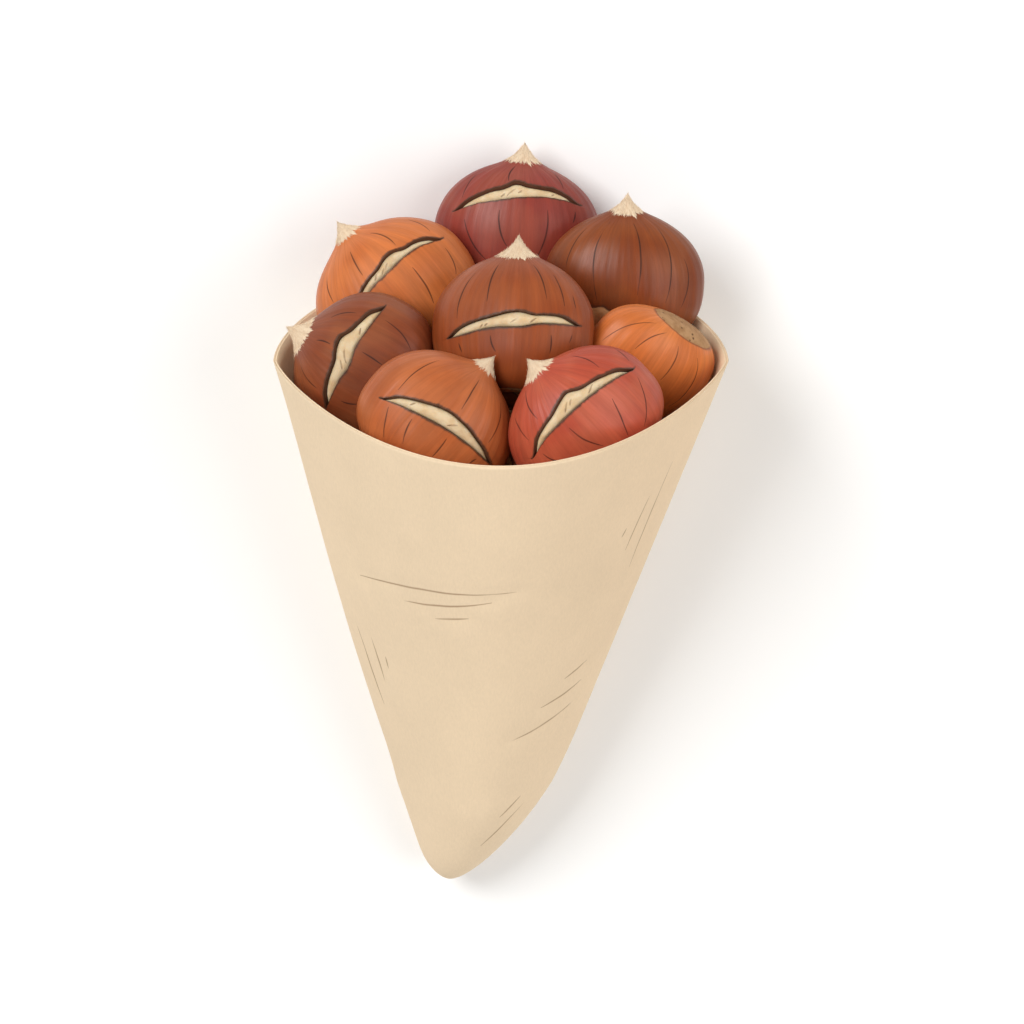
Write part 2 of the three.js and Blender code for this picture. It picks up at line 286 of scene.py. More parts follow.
def skinned(name, rings, materials):
    """A mesh through rings of points. It is closed where the first and the last ring are single points."""
    faces = []
    start = 0
    for near, far in zip(rings, rings[1:]):
        count = max(len(near), len(far))
        for i in range(count):
            a = start + i % len(near)
            b = start + (i + 1) % len(near)
            c = start + len(near) + (i + 1) % len(far)
            d = start + len(near) + i % len(far)
            faces.append(tuple(dict.fromkeys((a, b, c, d))))
        start += len(near)
    mesh = bpy.data.meshes.new(name)
    mesh.from_pydata(np.concatenate(rings).tolist(), [], faces)
    for material in materials:
        mesh.materials.append(material)
    mesh.shade_smooth()
    piece = bpy.data.objects.new(name, mesh)
    scene.collection.objects.link(piece)
    return piece


def noted(piece, name, values):
    """Writes a value or a vector on every point of a mesh, for its finish to read."""
    kind, field = ("FLOAT_VECTOR", "vector") if values.ndim > 1 else ("FLOAT", "value")
    attribute = piece.data.attributes.new(name, kind, "POINT")
    attribute.data.foreach_set(field, values.astype(np.float32).ravel())


def settled(piece, node):
    """The piece stands for a node of the model, and stays with it."""
    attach(piece, "root")
    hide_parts(node)


def group_of(name, inputs, outputs, tree_kind="ShaderNodeTree"):
    """A new node group: its tree, the sockets that bring its inputs, and the node that takes its outputs."""
    tree = bpy.data.node_groups.new(name, tree_kind)
    for label, kind, *value in inputs:
        socket = tree.interface.new_socket(label, in_out="INPUT", socket_type="NodeSocket" + kind)
        if value:
            socket.default_value = value[0]
    for label, kind in outputs:
        tree.interface.new_socket(label, in_out="OUTPUT", socket_type="NodeSocket" + kind)
    return tree, tree.nodes.new("NodeGroupInput").outputs, tree.nodes.new("NodeGroupOutput")


def grouped(tree, group, inputs):
    """A shader group, placed in a material."""
    return shade(tree, "Group", inputs, node_tree=group).outputs


def math_of(tree, operation, *values):
    """One Math node."""
    return shade(tree, "Math", dict(enumerate(values)), operation=operation).outputs[0]


def times(tree, first, second, *plus):
    """First times second, and plus a third where one is given."""
    return math_of(tree, "MULTIPLY_ADD" if plus else "MULTIPLY", first, second, *plus)


def vector_of(tree, operation, *values):
    """One Vector Math node, with its vector."""
    return shade(tree, "VectorMath", dict(enumerate(values)), operation=operation).outputs["Vector"]


def scaled(tree, vector, amount):
    """A vector or a colour, times an amount."""
    return shade(tree, "VectorMath", {0: vector, "Scale": amount}, operation="SCALE").outputs["Vector"]


def noise_of(tree, point, scale, detail=2, roughness=0.5):
    """A soft random pattern, from 0 to 1."""
    inputs = {"Vector": point, "Scale": scale, "Detail": detail, "Roughness": roughness}
    return shade(tree, "TexNoise", inputs).outputs["Fac"]


MOST_OF_NOISE = (0.3, 0.7)
MIDDLE_OF_NOISE = (0.35, 0.65)


def ramp(tree, value, low, high, to_low=0, to_high=1):
    """Value, brought smoothly from one range into another."""
    ends = {"Value": value, "From Min": low, "From Max": high, "To Min": to_low, "To Max": to_high}
    return shade(tree, "MapRange", ends, interpolation_type="SMOOTHSTEP").outputs["Result"]


def blended(tree, share, first, second):
    """One Mix node for colours."""
    inputs = {0: share, 6: first, 7: second}
    return shade(tree, "Mix", inputs, data_type="RGBA").outputs[2]


def bumped(tree, height, strength, distance):
    """The normal of a surface with a fine relief."""
    return shade(tree, "Bump", {"Height": height, "Strength": strength, "Distance": distance}).outputs["Normal"]


# A fine line over a surface, from Start along Span, which bows out by Sag half way. It tapers to both ends.
stroke_group, into, out = group_of(
    "fine line",
    [("Point", "Vector", (0, 0, 0)), ("Start", "Vector", (0, 0, 0)), ("Span", "Vector", (0, 0, 1)),
     ("Sag", "Vector", (0, 0, 0)), ("Width", "Float", 0.0004)],
    [("Mask", "Float")],
)
tree = stroke_group
away = vector_of(tree, "SUBTRACT", into["Point"], into["Start"])
reach = shade(tree, "VectorMath", {0: away, 1: into["Span"]}, operation="DOT_PRODUCT").outputs["Value"]
whole = shade(tree, "VectorMath", {0: into["Span"], 1: into["Span"]}, operation="DOT_PRODUCT").outputs["Value"]
along = shade(tree, "Math", {0: reach, 1: whole}, operation="DIVIDE", use_clamp=True).outputs[0]
bow = times(tree, times(tree, along, 4), math_of(tree, "SUBTRACT", 1, along))
bowed = vector_of(tree, "ADD", scaled(tree, into["Span"], along), scaled(tree, into["Sag"], bow))
missed = vector_of(tree, "SUBTRACT", away, bowed)
distance = shade(tree, "VectorMath", {0: missed}, operation="LENGTH").outputs["Value"]
width = times(tree, into["Width"], times(tree, bow, 0.68, 0.32))
feed(tree, out, {"Mask": ramp(tree, math_of(tree, "DIVIDE", distance, width), 1, 0)})


def lines_over(tree, point, lines, width):
    """The mask of several fine lines, each given by its two ends and its middle."""
    mask = None
    for start, middle, end in lines:
        span = end - start
        at = (middle - start) @ span / (span @ span)
        sag = (middle - start - span * at) / (4 * at * (1 - at))
        inputs = {"Point": point, "Start": start, "Span": span, "Sag": sag, "Width": width}
        line = grouped(tree, stroke_group, inputs)["Mask"]
        mask = line if mask is None else math_of(tree, "MAXIMUM", mask, line)
    return mask


def read(tree, name, field="Fac"):
    """What was noted on the points of a mesh."""
    return shade(tree, "Attribute", {}, attribute_name=name).outputs[field]


def wavered(tree, point, place, scale, amount):
    """A point shifted a little this way and that from place to place, so that lines over it waver."""
    shift = shade(tree, "TexNoise", {"Vector": place, "Scale": scale, "Detail": 1}).outputs["Color"]
    return vector_of(tree, "ADD", point, scaled(tree, vector_of(tree, "SUBTRACT", shift, (0.5, 0.5, 0.5)), amount))


paper, tree, surface, place = finish_of("cream paper")
fibres = shade(tree, "Mapping", {"Vector": place, "Scale": FIBRE_STRETCH}).outputs["Vector"]
fibre = noise_of(tree, fibres, scale=2600, detail=3, roughness=0.65)
tooth = noise_of(tree, place, scale=1500)
cloud = noise_of(tree, place, scale=34, detail=3, roughness=0.6)
lines = [unrolled(*crease_place(crease, np.array([0, 0.5, 1]))) for crease in CREASES]
sheet = wavered(tree, read(tree, "sheet", "Vector"), place, scale=90, amount=0.0008)
crease = lines_over(tree, sheet, lines, CREASE_WIDTH)
side = shade(tree, "SeparateXYZ", {"Vector": place}).outputs["X"]
# Towards the right side of the cone the cream turns into painted shade.
colour = blended(tree, ramp(tree, side, *PAINTED_SHADE_SPAN), PAPER_CREAM, PAPER_PAINTED_SHADE)
# Painted light: the inner face gets a lighter cream, to lift the shade inside the cone.
colour = blended(tree, read(tree, "lining"), colour, LINING_PAINTED_LIGHT)
light = times(tree, cloud, MOTTLE, times(tree, fibre, MOTTLE, 1 - MOTTLE))
# Painted shade: each crease is darkened to brown along its line.
colour = blended(tree, times(tree, crease, 0.8), scaled(tree, colour, light), CREASE_PAINTED_SHADE)
height = times(tree, fibre, 0.5, times(tree, tooth, 0.5))
feed(tree, surface, {
    "Base Color": colour, "Roughness": ramp(tree, tooth, *MOST_OF_NOISE, 0.78, 0.92), "Specular IOR Level": 0.25,
    "Normal": bumped(tree, height, strength=0.55, distance=PAPER_RELIEF),
})

angles = [*np.arange(CONE_COLUMNS) * 360 / CONE_COLUMNS, LAP_ANGLE, LAP_ANGLE + LAP_RISE]
angles = np.sort(angles)[::-1]


def cone_stations(length):
    """Distances down the cone, from its tip up to its mouth."""
    tip = [length - (length - STRAIGHT_LENGTH) * (row / CONE_TIP_ROWS) ** 2 for row in range(1, CONE_TIP_ROWS + 1)]
    return tip + [STRAIGHT_LENGTH * (1 - row / CONE_SIDE_ROWS) for row in range(1, CONE_SIDE_ROWS + 1)]


def cone_ring(down, inset, step):
    """One ring of the wall, with its lap and its dents."""
    return cone_point(angles, down, inset - step * lap(angles, down) + dents(angles, np.full(len(angles), down)))


lining_length = CONE_LENGTH - TIP_WALL
stations = [(down, 0, 1) for down in cone_stations(CONE_LENGTH)]
stations += [(down, inset, 1 - inset / WALL) for down, inset in RIM]
lining_from = len(stations)
stations += [(down, WALL, 0) for down in cone_stations(lining_length)[::-1][::3]]
rings = [cone_point(0, CONE_LENGTH, 0)] + [cone_ring(*station) for station in stations]
rings += [cone_point(0, lining_length, 0)]
flat = [unrolled(np.zeros(1), CONE_LENGTH)] + [unrolled(angles, station[0]) for station in stations]
flat += [unrolled(np.zeros(1), lining_length)]
cone = skinned("rolled_paper_cone", rings, [paper])
noted(cone, "sheet", np.concatenate(flat))
inner = [np.full(len(ring), float(i >= lining_from)) for i, ring in enumerate(rings)]
noted(cone, "lining", np.concatenate(inner))
settled(cone, "paper_cone")


# ---- The shells of the slit chestnuts -----------------------------------------------------------------------
# Each chestnut had a slit cut across its face before it was roasted. The heat has opened it, curled its lips out
# and torn the upper one. The shell is thin, tough and satin brown, with fine lines that run from base to point.

CROWN_HEIGHT = 0.86
BASE_HEIGHT = 0.8
BASE_SQUARENESS = 2.7
FACE_DEPTH = 0.6
BACK_DEPTH = 0.5
POINT_REACH = 0.25
POINT_SPREAD = 7.5
SHELL = 0.001
HEAP_TILT = math.radians(29)
SHELL_COLUMNS = 240
BACK_ROWS = 26
FACE_ROWS = 44
CROWDED_ENDS = 0.35
CROWDED_LIPS = 1.5
LIP_INSETS = [0.00008, 0.0003, 0.0007, 0.00092, 0.001]
LINING_SHARES = [0.04, 0.12, 0.25, 0.45, 0.7, 1, 1.3, 1.65]
LUMP = 0.00022
LUMPS_PER_METRE = 110
RIDGE = 0.004
RIDGES = (13, 29)  # two waves of ridges, round the chestnut
UPPER_CURL = 0.0005
LOWER_CURL = 0.00035
CURL_REACH = 0.0024
CURL_FADE = 1.3
RAGGED = 0.00013
FAR_FROM_LIP = 0.05
BACK = np.array([[0, 0, -1.0]])
TIP = np.array([[0, 1.0, 0]])
STREAK_WIDTH = 0.0185

# Sizes in millimetres and degrees. A slit runs from one end to the other, with its lower and upper lip so far
# above the line between them at even steps. The down reaches so far from the tip, and falls short of that by so
# much in the middle of the face. The scar reaches so far round its middle, which leans so far from the base
# towards a longitude. The streaks are the darker lines of the shell, each through three places: longitude, where
# 90 is the middle of the face, and distance from the point. The wrinkles of the flesh run through three places in
# the slit: along it and across it, from -1 to 1.
SLIT_CHESTNUTS = {
    "back": {
        "width": 39.4, "thick": 1, "at": (3.9, 30.4, -28.6), "turn": -5, "nod": 10, "yaw": -2,
        "from": (-15.7, 4.9), "to": (15.2, 9), "lower": (1.4, 2.4, 2.9, 3.3, 3.6, 3.6, 3.4, 2.7, 1.7),
        "upper": (2.8, 4.6, 5.9, 6.6, 7.8, 6.7, 5.9, 5.1, 3), "down": (6.2, 1), "scar": (38, 0, 0),
        "slot": "shell_maroon", "colour": (0.253, 0.037, 0.024), "warm": (0.291, 0.056, 0.032),
        "streaks": [(157, 40, 150, 51, 142, 64), (108, 20, 108, 31, 104, 42), (21, 24, 32, 35, 42, 47),
                    (131, 79, 122, 93, 110, 105), (104, 69, 101, 85, 96, 94), (67, 66, 69, 83, 74, 99),
                    (41, 67, 43, 71, 46, 75)],
        "wrinkles": [(-0.15, -0.5, -0.07, -0.1, 0.01, 0.2), (0.03, -0.4, 0.07, -0.2, 0.1, 0),
                     (-0.25, -0.5, -0.21, -0.3, -0.18, -0.1), (0.55, -0.6, 0.58, -0.3, 0.61, 0)],
    },
    "back_left": {
        "width": 39.4, "thick": 1, "at": (-25, 16.2, -17), "turn": 39, "nod": 8, "yaw": 0,
        "from": (-9.9, 4.2), "to": (17.5, 3.4), "lower": (0.4, 0.9, 1.6, 1.9, 2.2, 2.6, 2.6, 2.3, 1.3),
        "upper": (1.3, 2.8, 3.8, 4.4, 5.5, 5.6, 4.4, 4, 2.7), "down": (5.6, 0.3), "scar": (38, 0, 0),
        "slot": "shell_orange", "colour": (0.54, 0.138, 0.033), "warm": (0.6, 0.173, 0.047),
        "streaks": [(58, 31, 57, 45, 61, 60), (99, 34, 99, 50, 98, 62), (146, 38, 139, 54, 134, 65),
                    (66, 81, 67, 95, 70, 109), (33, 86, 35, 95, 41, 104), (16, 50, 22, 61, 28, 70)],
        "wrinkles": [(0.02, 0.1, -0.03, -0.1, -0.08, -0.4), (-0.07, 0, -0.13, -0.2, -0.18, -0.5),
                     (-0.26, 0.3, -0.3, 0, -0.35, -0.4)],
    },
    "middle": {
        "width": 38.6, "thick": 1, "at": (2.9, 8, 6.8), "turn": -3, "nod": -3, "yaw": -13,
        "from": (-13.8, -4.1), "to": (17.4, 0.6), "lower": (0.3, 0.7, 1.1, 1.2, 0.9, 0.7, 1, 0.9, 0.5),
        "upper": (2, 3, 3.6, 4.1, 4.6, 4.5, 3.4, 3.1, 2.3), "down": (7, 0), "scar": (29, 0, 0), "scar_painted_light": 1.7,
        "slot": "shell_brown", "colour": (0.262, 0.053, 0.012), "warm": (0.302, 0.072, 0.02),
        "streaks": [(128, 49, 128, 68, 126, 88), (107, 37, 105, 59, 103, 75), (59, 33, 57, 55, 57, 71),
                    (40, 47, 41, 62, 42, 75), (29, 66, 30, 71, 30, 76), (98, 99, 97, 105, 94, 110),
                    (124, 105, 123, 108, 122, 111), (54, 96, 53, 102, 53, 109), (35, 94, 36, 98, 37, 101)],
        "wrinkles": [(0.03, -0.4, 0.1, -0.1, 0.18, 0.3), (0.31, -0.8, 0.35, -0.3, 0.41, 0.2),
                     (-0.47, -0.7, -0.43, -0.4, -0.4, 0), (-0.38, -0.6, -0.35, -0.3, -0.32, -0.1)],
    },
    "left": {
        "width": 36.6, "thick": 1, "at": (-32.4, -1.5, -0.3), "turn": 62, "nod": 8, "yaw": -3,
        "from": (-11.6, 3.2), "to": (16.2, 2), "lower": (0.4, 0.7, 0.8, 0.4, 0.8, 1.4, 1.2, 0.9, 0.6),
        "upper": (2.1, 3.3, 3.9, 4.5, 5.8, 6.1, 4.6, 3.7, 2.6), "down": (7.2, 0.5), "scar": (38, 0, 0),
        "slot": "shell_dark", "colour": (0.23, 0.052, 0.017), "warm": (0.27, 0.074, 0.026),
        "streaks": [(49, 44, 45, 55, 45, 66), (82, 41, 80, 50, 80, 58), (125, 37, 123, 53, 120, 66),
                    (43, 88, 46, 101, 53, 115), (75, 84, 76, 92, 77, 101), (116, 87, 115, 93, 112, 99)],
        "wrinkles": [(0.1, 0, -0.04, -0.2, -0.14, -0.7), (-0.13, 0.2, -0.19, -0.1, -0.26, -0.5),
                     (0.5, 0, 0.44, -0.3, 0.38, -0.6)],
    },
    "front_left": {
        "width": 37.6, "thick": 1, "at": (-15, -14.8, 17.5), "turn": -40, "nod": 10, "yaw": 4,
        "from": (-15, -3.4), "to": (15.1, 1.4), "lower": (0.9, 1.4, 1.8, 2.1, 2.2, 2.1, 1.8, 1.3, 0.6),
        "upper": (2.7, 4.1, 5.1, 5.9, 6.2, 5.8, 5, 3.7, 2.2), "down": (5.0, 0.5), "scar": (38, 0, 0),
        "slot": "shell_tan", "colour": (0.41, 0.101, 0.027), "warm": (0.465, 0.131, 0.041),
        "streaks": [(143, 46, 139, 67, 135, 87), (89, 29, 89, 51, 88, 67), (43, 37, 47, 56, 53, 74),
                    (132, 101, 128, 110, 122, 121), (111, 96, 109, 106, 105, 114), (83, 91, 82, 100, 82, 108),
                    (54, 89, 55, 91, 56, 95)],
        "wrinkles": [(-0.59, -0.3, -0.56, 0.2, -0.52, 0.5), (0.06, -0.6, 0.13, -0.2, 0.21, 0.2)],
    },
    "front_right": {
        "width": 38.4, "thick": 1, "at": (19.4, -14, 19.5), "turn": 46, "nod": 17, "yaw": 18,
        "from": (-15.4, 4.7), "to": (16.9, 3), "lower": (2, 3.3, 4, 4.4, 4.5, 4.4, 3.9, 3.1, 1.8),
        "upper": (3.8, 5.7, 6.9, 8.3, 9.1, 7.5, 6.7, 5.4, 3.5), "down": (6.2, 1.6), "scar": (38, 0, 0),
        "slot": "shell_red", "colour": (0.427, 0.068, 0.034), "warm": (0.477, 0.098, 0.047),
        "streaks": [(22, 30, 35, 43, 46, 57), (7, 63, 15, 69, 23, 75), (158, 20, 137, 36, 124, 51),
                    (167, 42, 153, 51, 142, 62), (65, 79, 70, 93, 75, 107), (35, 86, 46, 101, 60, 113),
                    (103, 72, 100, 86, 93, 99), (133, 76, 129, 83, 122, 89)],
        "wrinkles": [(-0.06, 0.2, -0.14, -0.1, -0.22, -0.6), (0.01, 0.1, -0.04, -0.1, -0.09, -0.4),
                     (0.38, 0.4, 0.32, 0, 0.25, -0.5)],
    },
}


def placed(nut, points):
    """From a chestnut's own frame to where it lies in the heap."""
    points = turned(points, 2, math.radians(nut["turn"]))
    points = turned(points, 0, math.radians(nut["nod"]))
    points = turned(points, 1, math.radians(nut["yaw"]))
    return laid(turned(points + np.array(nut["at"]) / 1000, 0, -HEAP_TILT))


def chestnut_point(nut, direction, pointed=1, inset=0):
    """The surface in a direction from the chestnut's middle: +Y to its point, +Z out of its rounder face."""
    x, y, z = np.moveaxis(direction, -1, 0)
    height = np.where(y > 0, CROWN_HEIGHT, BASE_HEIGHT)
    square = np.where(y > 0, 2, BASE_SQUARENESS)
    reach = (np.hypot(x, z) ** square + (np.abs(y) / height) ** square) ** (-1 / square)
    reach = reach + pointed * POINT_REACH * np.exp(-np.degrees(np.arccos(np.clip(y, -1, 1))) / POINT_SPREAD)
    point = direction * (reach * nut["width"] / 2000)[..., None]
    point[..., 2] *= nut["thick"] * np.where(z > 0, FACE_DEPTH, BACK_DEPTH)
    length = np.linalg.norm(point, axis=-1)
    return point * ((length - inset) / length)[..., None]


def outward(nut, point):
    """The way out of the surface at a point of it."""
    depth = nut["thick"] * np.where(point[:, 2] > 0, FACE_DEPTH, BACK_DEPTH)
    way = point / np.stack([np.ones(len(point)), np.full(len(point), CROWN_HEIGHT**2), depth**2], -1)
    return way / np.linalg.norm(way, axis=-1)[:, None]


def from_tip(nut, point):
    """Millimetres from the tip of the chestnut."""
    return np.linalg.norm(point - chestnut_point(nut, TIP), axis=-1) * 1000


def lumpy(nut, point):
    """No chestnut is quite even: low lumps all over it, and faint ridges from base to point."""
    shift = Vector(nut["at"])
    longitude = np.arctan2(point[:, 2], point[:, 0])
    ridge = np.sin(longitude * RIDGES[0] + shift.x) * np.sin(longitude * RIDGES[1] + shift.y)
    ridge = ridge * np.hypot(point[:, 0], point[:, 2])
    lump = np.array([noise.noise(Vector(p) * LUMPS_PER_METRE + shift) for p in point])
    return point + outward(nut, point) * (LUMP * lump + RIDGE * ridge)[:, None]


def disc_direction(disc):
    """The middle of the disc is the middle of the face, and its edge is the middle of the back."""
    size = np.linalg.norm(disc, axis=-1)
    side = disc * (np.sin(math.pi * size) / np.maximum(size, 1e-9))[:, None]
    return np.stack([side[:, 0], side[:, 1], np.cos(math.pi * size)], -1)


def way_of(longitude, polar):
    """The direction that a longitude and a distance from the point give, in degrees."""
    longitude, polar = np.radians(longitude), np.radians(polar)
    return np.stack([np.cos(longitude) * np.sin(polar), np.cos(polar), np.sin(longitude) * np.sin(polar)], -1)


def lip_height(heights, along):
    """How far a lip stands above the line between the ends of its slit: a smooth curve through its heights."""
    knots = np.array([0, 0, *heights, 0, 0])
    place = (1 + along) / 2 * (len(heights) + 1)
    step = np.clip(np.floor(place).astype(int), 0, len(heights))
    part = place - step
    a, b, c, d = (knots[step + i] for i in range(4))
    return b + part / 2 * (c - a + part * (2 * a - 5 * b + 4 * c - d + part * (3 * (b - c) + d - a)))


def slit_disc(nut, along, side, ragged=0):
    """A place in the slit on the disc: along it from -1 to 1, and across from the lower lip, -1, to the upper, 1."""
    start, end = np.array(nut["from"]), np.array(nut["to"])
    chord = end - start
    offset = (lip_height(nut["lower"], along) * (1 - side) + lip_height(nut["upper"], along) * (1 + side)) / 2
    if ragged:
        shift = nut["turn"]
        tear = [noise.noise((a * 11, s * 3, shift)) + 0.7 * noise.noise((a * 34, s * 3, shift))
                for a, s in zip(along, side)]
        offset = offset + ragged * 1000 * np.array(tear) * np.sqrt(1 - along**2) * np.abs(side)
    across = np.array([-chord[1], chord[0]]) / np.linalg.norm(chord)
    point = start + chord * ((1 + along) / 2)[:, None] + across * offset[:, None]
    length = np.linalg.norm(point, axis=-1)
    return point * (np.arcsin(np.minimum(length / (nut["width"] / 2), 1)) / math.pi / length)[:, None]


def lip_disc(nut, angle, share, ragged=0):
    """Round the slit on the disc, or nearer to its middle at a smaller share."""
    along = share * np.cos(angle)
    side = share * np.sin(angle) / np.sqrt(np.maximum(1 - along**2, 1e-6))
    return slit_disc(nut, along, side, ragged)


def shell_disc(nut, angle, share, ragged=0):
    """On the disc: share 2 is its edge, 1 the widest outline of the chestnut, and 0 the lips of the slit."""
    right = math.atan2(nut["to"][1], nut["to"][0])
    left = math.atan2(nut["from"][1], -nut["from"][0])
    fanned = angle + np.where(np.cos(angle) > 0, right, left) * np.cos(angle)
    disc = np.stack([np.cos(fanned), np.sin(fanned)], -1) * max(share, 1) / 2
    return disc if share >= 1 else disc * share + lip_disc(nut, angle, 1, ragged) * (1 - share)


def marked(piece, nut, direction, lip):
    """Writes on each point where it lies on its chestnut, for the finishes to follow."""
    longitude = np.arctan2(direction[:, 2], direction[:, 0])
    polar = np.arccos(np.clip(direction[:, 1], -1, 1))
    reach, lean, toward = nut["scar"]
    noted(piece, "way", direction)
    noted(piece, "grain", np.stack([np.cos(longitude), np.sin(longitude), polar], -1))
    noted(piece, "tip", from_tip(nut, chestnut_point(nut, direction)))
    noted(piece, "scar", np.degrees(np.arccos(np.clip(direction @ way_of(toward, 180 - lean), -1, 1))))
    noted(piece, "lip", lip * 1000)


# Fine lines from base to point, in the colour and the relief of a shell.
growth_group, into, out = group_of(
    "growth lines",
    [("Grain", "Vector", (0, 0, 0)), ("Lines", "Float", 15.0)],
    [("Streak", "Float"), ("Height", "Float")],
)
tree = growth_group
stretch = shade(tree, "CombineXYZ", {"X": into["Lines"], "Y": into["Lines"], "Z": 1.1}).outputs["Vector"]
drawn = vector_of(tree, "MULTIPLY", into["Grain"], stretch)
broad = noise_of(tree, drawn, scale=0.35, detail=3, roughness=0.6)
fine = noise_of(tree, drawn, scale=1.5, detail=3, roughness=0.7)
streak = times(tree, broad, 0.55, times(tree, fine, 0.45))
feed(tree, out, {"Streak": ramp(tree, streak, *MOST_OF_NOISE), "Height": fine})

# The pale silky down round the point, which ends in long and short teeth, in millimetres.
LONG_TEETH = 5
SHORT_TEETH = 1.4
down_group, into, out = group_of(
    "downy point",
    [("Grain", "Vector", (0, 0, 0)), ("Tip", "Float", 9), ("Reach", "Float", 7), ("Dip", "Float", 0)],
    [("Mask", "Float"), ("Height", "Float")],
)
tree = down_group
teeth = shade(tree, "Mapping", {"Vector": into["Grain"], "Scale": (4.2, 4.2, 0.5)}).outputs["Vector"]
jag = noise_of(tree, teeth, scale=1, detail=3, roughness=0.75)
hair = shade(tree, "Mapping", {"Vector": into["Grain"], "Scale": (44, 44, 2)}).outputs["Vector"]
strand = noise_of(tree, hair, scale=1)
faced = math_of(tree, "MAXIMUM", shade(tree, "SeparateXYZ", {"Vector": into["Grain"]}).outputs["Y"], 0)
dip = times(tree, times(tree, faced, faced), into["Dip"])
edge = times(tree, jag, LONG_TEETH, math_of(tree, "SUBTRACT", into["Reach"], dip))
edge = times(tree, strand, SHORT_TEETH, math_of(tree, "SUBTRACT", edge, (LONG_TEETH + SHORT_TEETH) / 2))
mask = ramp(tree, math_of(tree, "SUBTRACT", into["Tip"], edge), 0.25, -0.35)
feed(tree, out, {"Mask": mask, "Height": strand})

# The dull tan scar at the base, where the chestnut sat in its burr, with its dark pits.
SCAR_WANDER = 9
PITS_PER_METRE = 640
scar_group, into, out = group_of(
    "base scar",
    [("Point", "Vector", (0, 0, 0)), ("Scar", "Float", 90), ("Reach", "Float", 48)],
    [("Mask", "Float"), ("Edge", "Float"), ("Pits", "Float"), ("Height", "Float")],
)
tree = scar_group
wander = noise_of(tree, into["Point"], scale=160)
far = math_of(tree, "SUBTRACT", into["Scar"], times(tree, wander, SCAR_WANDER, into["Reach"]))
cells = shade(tree, "TexVoronoi", {"Vector": into["Point"], "Scale": PITS_PER_METRE}, feature="F1")
rough = noise_of(tree, into["Point"], scale=1300)
chosen = ramp(tree, shade(tree, "SeparateXYZ", {"Vector": cells.outputs["Color"]}).outputs["X"], 0.15, 0.25)
pits = times(tree, ramp(tree, cells.outputs["Distance"], 0.25, 0.14), chosen)
edge = ramp(tree, math_of(tree, "ABSOLUTE", math_of(tree, "ADD", far, 3.4)), 3, 0)
height = math_of(tree, "SUBTRACT", rough, pits)
feed(tree, out, {"Mask": ramp(tree, far, -2.9, -4.3), "Edge": edge, "Pits": pits, "Height": height})

DOWN_CREAM = (0.87, 0.72, 0.53, 1)
DOWN_FAWN = (0.74, 0.56, 0.38, 1)
SCAR_TAN = (0.35, 0.18, 0.075, 1)
SCAR_PALE = (0.45, 0.25, 0.115, 1)
SCAR_PIT = (0.13, 0.06, 0.025, 1)
STREAK_DARK = 0.15
SCORCH = (0.075, 0.033, 0.018, 1)
SATIN = (0.44, 0.33)  # the roughness of the duller and the glossier lines
DULLER = 0.42  # how much rougher the down and the scar are
SHELL_RELIEF = 0.00016


def shell_finish(name, nut):
    """The satin shell of one chestnut, with its own browns and its own darker streaks."""
    material, tree, surface, place = finish_of("shell of chestnut " + name)
    grain = read(tree, "grain", "Vector")
    growth = grouped(tree, growth_group, {"Grain": grain})
    reach, dip = nut["down"]
    down = grouped(tree, down_group, {"Grain": grain, "Tip": read(tree, "tip"), "Reach": reach, "Dip": dip})
    scar = grouped(tree, scar_group, {"Point": place, "Scar": read(tree, "scar"), "Reach": nut["scar"][0]})
    lines = [way_of(streak[::2], streak[1::2]) for streak in nut["streaks"]]
    way = wavered(tree, read(tree, "way", "Vector"), place, scale=140, amount=0.022)
    streak = lines_over(tree, way, lines, STREAK_WIDTH)

    cloud = noise_of(tree, place, scale=85)
    colour = blended(tree, ramp(tree, cloud, *MIDDLE_OF_NOISE), (*nut["colour"], 1), (*nut["warm"], 1))
    colour = scaled(tree, colour, times(tree, growth["Streak"], 0.3, 0.83))
    darker = math_of(tree, "SUBTRACT", 1, times(tree, streak, 1 - STREAK_DARK))
    colour = scaled(tree, colour, darker)
    frayed = times(tree, growth["Streak"], 0.35, read(tree, "lip"))
    colour = blended(tree, ramp(tree, frayed, 0.8, 0.25, 0, 0.92), colour, SCORCH)
    colour = blended(tree, times(tree, scar["Edge"], 0.7), colour, SCORCH)
    mottle = noise_of(tree, place, scale=380, roughness=0.7)
    tan = blended(tree, ramp(tree, mottle, *MIDDLE_OF_NOISE), SCAR_TAN, SCAR_PALE)
    # Where a scar lies in the shade between the chestnuts, its tan is made lighter by a factor: painted light.
    tan = blended(tree, scar["Pits"], scaled(tree, tan, nut.get("scar_painted_light", 1)), SCAR_PIT)
    colour = blended(tree, scar["Mask"], colour, tan)
    pale = blended(tree, ramp(tree, down["Height"], *MIDDLE_OF_NOISE), DOWN_FAWN, DOWN_CREAM)
    colour = blended(tree, down["Mask"], colour, pale)

    dull = math_of(tree, "MAXIMUM", down["Mask"], scar["Mask"])
    satin = ramp(tree, growth["Streak"], 0, 1, *SATIN)
    rough = times(tree, dull, DULLER, times(tree, streak, 0.15, satin))
    height = times(tree, growth["Height"], 0.5)
    height = times(tree, times(tree, down["Mask"], down["Height"]), 1.3, height)
    height = times(tree, times(tree, scar["Mask"], scar["Height"]), 0.9, height)
    normal = bumped(tree, height, strength=0.6, distance=SHELL_RELIEF)
    feed(tree, surface, {"Base Color": colour, "Roughness": rough, "Specular IOR Level": 0.3, "Normal": normal})
    return material


